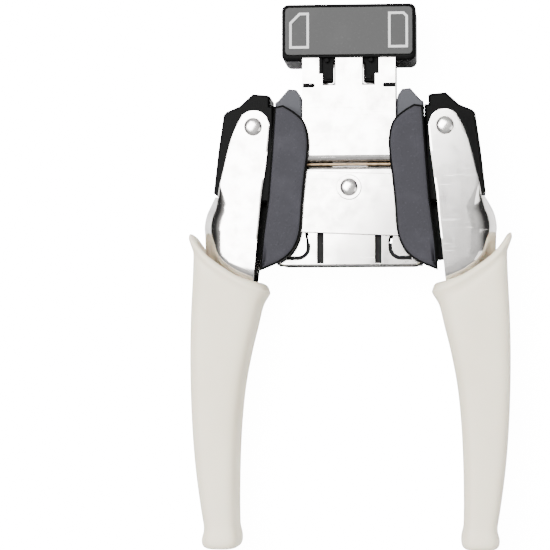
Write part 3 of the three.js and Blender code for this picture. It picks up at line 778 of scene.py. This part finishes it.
def head_profile(seat, shank, head, dome):
    """From the crown of the front head to the crown of the back head."""
    rim = 0.28
    front = [
        (head * math.sin(math.radians(a)), seat + rim + (dome - rim) * math.cos(math.radians(a)))
        for a in (2, 12, 24, 36, 48, 58, 67, 75, 82)
    ]
    front += [(head, seat + rim * 0.75), (head, seat + 0.1), (head - 0.12, seat), (shank, seat)]
    return front + [(r, -z) for r, z in reversed(front)]


PIN = {"seat": 11.2, "shank": 2.2, "head": 3.05, "dome": 1.35}
RIVET = {"shank": 1.7, "head": 3.0, "dome": 1.4}
for label, side in SIDES:
    profile = head_profile(**PIN)
    pin = turned(f"{label}_pin_turned", at(side, 0, 0, 0), profile, rivet_steel)
    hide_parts(f"{label}_pivot_pin")
    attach(pin, "frame")

rivet_place = Vector(middle("centre_rivet"))
front_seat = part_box("rivet_washer")[1][2] / MM - mid_z + 0.02
rivet_place.z = mid_z * MM
profile = head_profile(front_seat, **RIVET)
rivet = turned("centre_rivet_turned", rivet_place, profile, rivet_steel)
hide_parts("centre_rivet")
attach(rivet, "frame")
print("pins turned, front seat", round(front_seat, 2))


# %% [markdown]
# ## Lips of the neck's slots
# The sheet is turned up a little along the inner side and the foot of each slot, which leaves
# a narrow bright lip there. It is a flattened bead along an L-shaped path.

# %% Bead the slots
LIP, LIP_RISE, LIP_SUNK = 0.42, 0.3, 0.12    # half width, half height, depth of its middle


def bead(name, path, radius, finish, around=12):
    """A flattened bead along a path of points in the plane of the neck's face."""
    rings = []
    for i, here in enumerate(path):
        before, after = path[max(i - 1, 0)], path[min(i + 1, len(path) - 1)]
        along = (Vector(after) - Vector(before)).normalized()
        across_path = Vector((-along.y, along.x))
        ring = []
        for step in range(around):
            angle = 2 * math.pi * step / around
            offset = across_path * math.cos(angle) * radius
            point = (here[0] + offset.x, here[1] + offset.y, here[2] + LIP_RISE * math.sin(angle))
            ring.append(Vector(point) * MM)
        rings.append(ring)
    return skin(name, rings, finish)


neck_high = Vector(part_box("neck_channel")[1]) / MM
SLOT_IN, SLOT_STEP, SLOT_FOOT, SLOT_HEAD = 4.6, 9.0, 14.3, 22.4
SLOT_CORNER = 0.8
for label, side in SIDES:
    z = neck_high.z - LIP_SUNK
    x0, x1 = side * (SLOT_IN + LIP), side * (SLOT_STEP - 0.4)
    y0, y1 = pin_y + SLOT_FOOT + LIP, pin_y + SLOT_HEAD
    corner = [
        (x0 + side * SLOT_CORNER * (1 - math.sin(a)), y0 + SLOT_CORNER * (1 - math.cos(a)), z)
        for a in (math.pi / 2 * i / 6 for i in range(7))
    ]
    path = [(x0, y1, z), (x0, y1 - 3, z), *reversed(corner), (x1, y0, z)]
    lip = bead(f"{label}_slot_lip", path, LIP, chrome_bent)
    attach(lip, "frame")
print("slot lips made")


# %% [markdown]
# ## Return springs
# Two coil springs stand between the crosshead and the foot of the neck. A closing handle
# lifts the crosshead by the plunger's travel; the travel is read here, but the springs keep their length.

# %% Wind the springs
SPRING_TURNS, SPRING_STEPS, WIRE_AROUND = 6, 26, 10
WIRE = 0.34


def spring(label, side):
    low, high = (Vector(corner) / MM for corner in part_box(f"{label}_return_spring"))
    centre_x, centre_z = (low.x + high.x) / 2, (low.z + high.z) / 2
    radius = (high.z - low.z) / 2 - WIRE
    bottom, top = low.y + WIRE, high.y - WIRE
    rings = []
    for step in range(SPRING_TURNS * SPRING_STEPS + 1):
        share = step / (SPRING_TURNS * SPRING_STEPS)
        angle = 2 * math.pi * SPRING_TURNS * share
        outward = Vector((math.cos(angle), 0, math.sin(angle)))
        core = Vector((centre_x, bottom + (top - bottom) * share, centre_z)) + outward * radius
        rings.append([
            (core + (outward * math.cos(a) + Vector((0, 1, 0)) * math.sin(a)) * WIRE) * MM
            for a in (2 * math.pi * i / WIRE_AROUND for i in range(WIRE_AROUND))
        ])
    piece = skin(f"{label}_spring_wire", rings, tool_steel)
    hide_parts(f"{label}_return_spring")
    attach(piece, "frame")
    travel = next(j for j in frame["joints"] if j["name"] == "plunger_slide")["range_m"][1] / MM
    1 - travel / (high.y - low.y)
    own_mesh(piece)
    return round(high.y - low.y, 2)


print("springs", [spring(label, side) for label, side in SIDES], "mm long")


# %% [markdown]
# ## Painted shade in the neck's relief notches
# A black block sits in the short notch at each edge of the neck: painted shade for the dark inside of the
# notch.

# %% Painted notch shade
NOTCH_Y, NOTCH_HALF, NOTCH_LENGTH = 14.3, 0.5, 3.5
SHADE_INSET, SHADE_DEPTH = 0.12, 1.4
for label, side in SIDES:
    edge = neck_high.x - SHADE_INSET
    corners = [
        (edge - NOTCH_LENGTH, NOTCH_Y - NOTCH_HALF), (edge, NOTCH_Y - NOTCH_HALF),
        (edge, NOTCH_Y + NOTCH_HALF), (edge - NOTCH_LENGTH, NOTCH_Y + NOTCH_HALF),
    ]
    levels = [
        [Vector((side * x, pin_y + y, z)) * MM for x, y in corners]
        for z in (neck_high.z - SHADE_DEPTH, neck_high.z - SHADE_INSET)
    ]
    # painted shade: a dark block standing in for the shade inside the notch
    shade_block = skin(f"{label}_notch_painted_shade", levels, rim_black)
    soften(shade_block, 0.12)
    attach(shade_block, "frame")
print("painted notch shades made")


# %% [markdown]
# ## Stage, light and camera
# The tool lies on a pale table and is seen from above, a little from its lower right, so the
# head shows its underside. Two sheets lie under it. The upper one is lit from within, as on a
# light table, and only the camera sees it, so the background stays white. The lower one is
# plain paper that only the tool sees, so the sides of the grips keep their soft shade.

# %% Table and light table
REACH = 3.0                          # metres from the middle of the table to its edges
PAPER_DROP, GLOW_DROP = 0.0004, 0.0002
GLOW = 14.0
corners = [(-REACH, -REACH, 0), (REACH, -REACH, 0), (REACH, REACH, 0), (-REACH, REACH, 0)]


def table_build(tree):
    cloud = noise(tree, place(tree), 6.0, 2.0)
    tone = mix_colour(tree, cloud, grey(0.93), grey(0.9))
    return {"Base Color": tone, "Roughness": cloud * 0.1 + 0.7}


def sheet_of_paper(name, drop, finish):
    data = bpy.data.meshes.new(name)
    data.from_pydata(corners, [], [(0, 1, 2, 3)])
    data.materials.append(finish)
    sheet = bpy.data.objects.new(name, data)
    bpy.context.collection.objects.link(sheet)
    sheet.location.z = -drop
    return sheet


lit = {"Emission Color": grey(1.0), "Emission Strength": GLOW}
table = sheet_of_paper("table", PAPER_DROP, material("table_paper", table_build, {}))
glow = sheet_of_paper("table_glow", GLOW_DROP, material("lit_paper", table_build, lit))
table.visible_camera = False
for ray in ("diffuse", "glossy", "shadow", "transmission"):
    setattr(glow, f"visible_{ray}", False)
print("table", 2 * REACH, "m wide")


# %% [markdown]
# Chrome shows only what it reflects. The room is dim near the floor and bright overhead, which
# gives the folds their grey lines. Two windows, ahead and behind, keep the chrome from going
# black when it is seen from low down.

# %% Room
world = bpy.data.worlds.new("room")
bpy.context.scene.world = world
world.use_nodes = True
room = world.node_tree
room.nodes["Background"].inputs["Strength"].default_value = 1.0
direction = node(room, "ShaderNodeTexCoord", output=0)
height = node(room, "ShaderNodeSeparateXYZ", inputs={0: direction}, output=2)
depth = node(room, "ShaderNodeSeparateXYZ", inputs={0: direction}, output=1)
stops = [(0.0, grey(0.02)), (0.45, grey(0.05)), (0.7, grey(0.45)), (0.9, grey(1.0))]
sky = node(room, "ShaderNodeValToRGB", {"stops": stops}, {0: height})
windows = (depth * depth).between(0.22, 0.62) * height.between(0.08, 0.3)
sky = mix_colour(room, windows, sky, grey(0.7))
room.links.new(sky.socket, room.nodes["Background"].inputs["Color"])
print("room", len(room.nodes), "nodes")


# %% [markdown]
# A broad soft lamp hangs overhead, to the upper left. A weak one fills in from the right.

# %% Lamps
def soft_light(name, place_at, size, power):
    """A rectangular lamp in metres and watts, turned to face the tool."""
    data = bpy.data.lights.new(name, "AREA")
    data.shape = "RECTANGLE"
    data.size, data.size_y = size
    data.energy = power
    light = bpy.data.objects.new(name, data)
    bpy.context.collection.objects.link(light)
    light.location = place_at
    light.rotation_euler = (-Vector(place_at)).to_track_quat("-Z", "Y").to_euler()
    return light


OVERHEAD_AT, OVERHEAD_SIZE, OVERHEAD_POWER = (-0.35, 0.25, 1.1), (0.9, 0.7), 34.0
FILL_AT, FILL_SIZE, FILL_POWER = (0.95, -0.3, 0.6), (0.5, 0.9), 4.5
soft_light("overhead", OVERHEAD_AT, OVERHEAD_SIZE, OVERHEAD_POWER)
soft_light("side_fill", FILL_AT, FILL_SIZE, FILL_POWER)
print("lamps", OVERHEAD_POWER, "and", FILL_POWER, "watts")


# %% [markdown]
# The camera stands above a point beside the tool and looks back at its middle. The lens is
# worked out from the width that has to fit in the frame at the tool's distance.

# %% Camera
BELOW_CAMERA = Vector((0.0380, -0.0382, 0))
CAMERA_HEIGHT = 0.790
AIM = Vector((-0.0258, 0.0004, 0.018))
SENSOR = 36.0
WIDTH_IN_VIEW = 0.18975
eye = BELOW_CAMERA + Vector((0, 0, CAMERA_HEIGHT))
camera_data = bpy.data.cameras.new("camera")
camera_data.sensor_width = SENSOR
camera_data.lens = SENSOR * (eye - AIM).length / WIDTH_IN_VIEW
camera = bpy.data.objects.new("camera", camera_data)
bpy.context.collection.objects.link(camera)
forward = (AIM - eye).normalized()
right = forward.cross(Vector((0, 1, 0))).normalized()
upward = right.cross(forward)
camera.matrix_world = Matrix((
    (right.x, upward.x, -forward.x, eye.x),
    (right.y, upward.y, -forward.y, eye.y),
    (right.z, upward.z, -forward.z, eye.z),
    (0, 0, 0, 1)))
bpy.context.scene.camera = camera
print("lens", round(camera_data.lens, 1), "mm")
